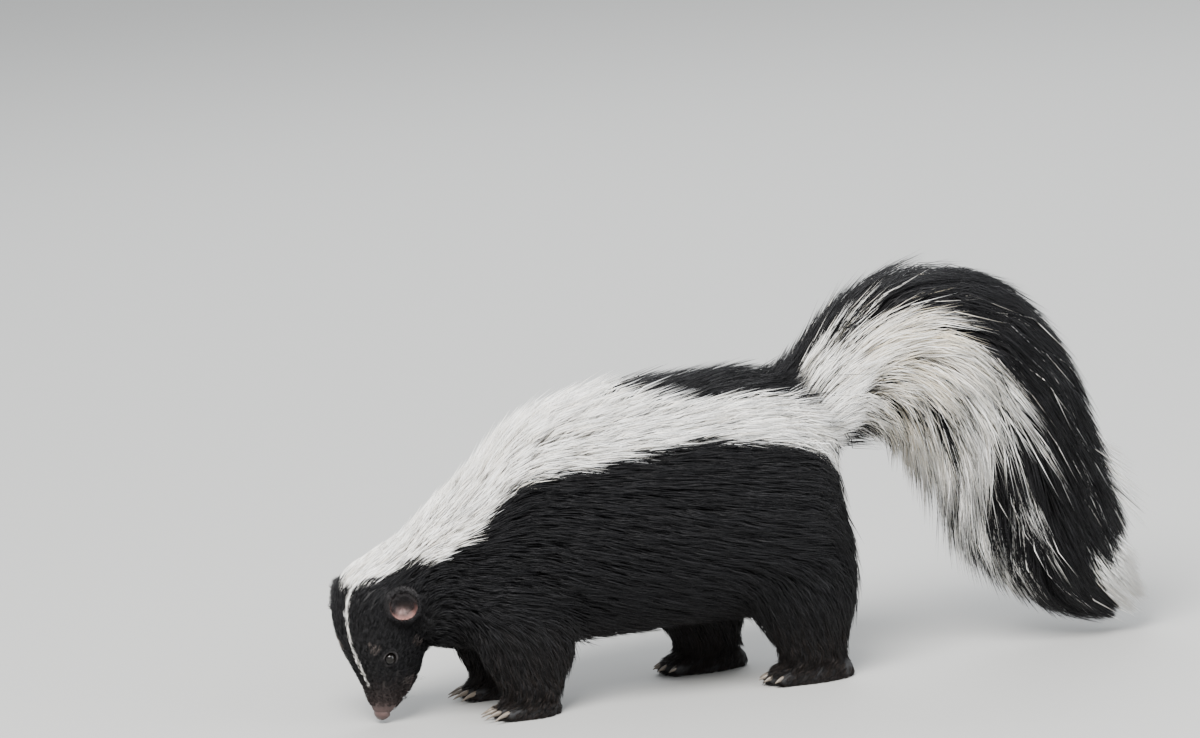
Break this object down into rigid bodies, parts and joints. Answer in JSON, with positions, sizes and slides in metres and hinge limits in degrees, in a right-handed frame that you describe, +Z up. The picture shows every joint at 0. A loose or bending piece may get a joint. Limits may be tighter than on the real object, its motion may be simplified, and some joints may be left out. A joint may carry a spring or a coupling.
{
  "type": "striped skunk",
  "caption": "Life-size still model of a striped skunk walking with its nose to the ground, black with a white cap and stripes and a bushy arched tail",
  "frame": {"origin": "centre of the foot of the bounding box, on the ground", "axes": "+Z up, head to -X, left side to -Y"},
  "size_m": [0.5074, 0.1434, 0.2434],
  "materials": {
    "black_fur": "satin",
    "white_fur": "matte",
    "ear_skin": "matte",
    "nose_skin": "satin",
    "eye_black": "gloss",
    "claw_horn": "satin"
  },
  "bodies": {
    "root": {"head": "black_fur", "nose": "nose_skin", "ear_left": "ear_skin", "ear_right": "ear_skin", "eye_left": "eye_black", "eye_right": "eye_black", "neck": "black_fur", "torso": "black_fur", "white_cap": "white_fur", "white_stripe_left": "white_fur", "white_stripe_right": "white_fur", "front_leg_left": "black_fur", "front_leg_right": "black_fur", "hind_leg_left": "black_fur", "hind_leg_right": "black_fur", "tail_base": "black_fur", "tail_middle": "black_fur", "tail_tip": "black_fur"}
  },
  "joints": []
}
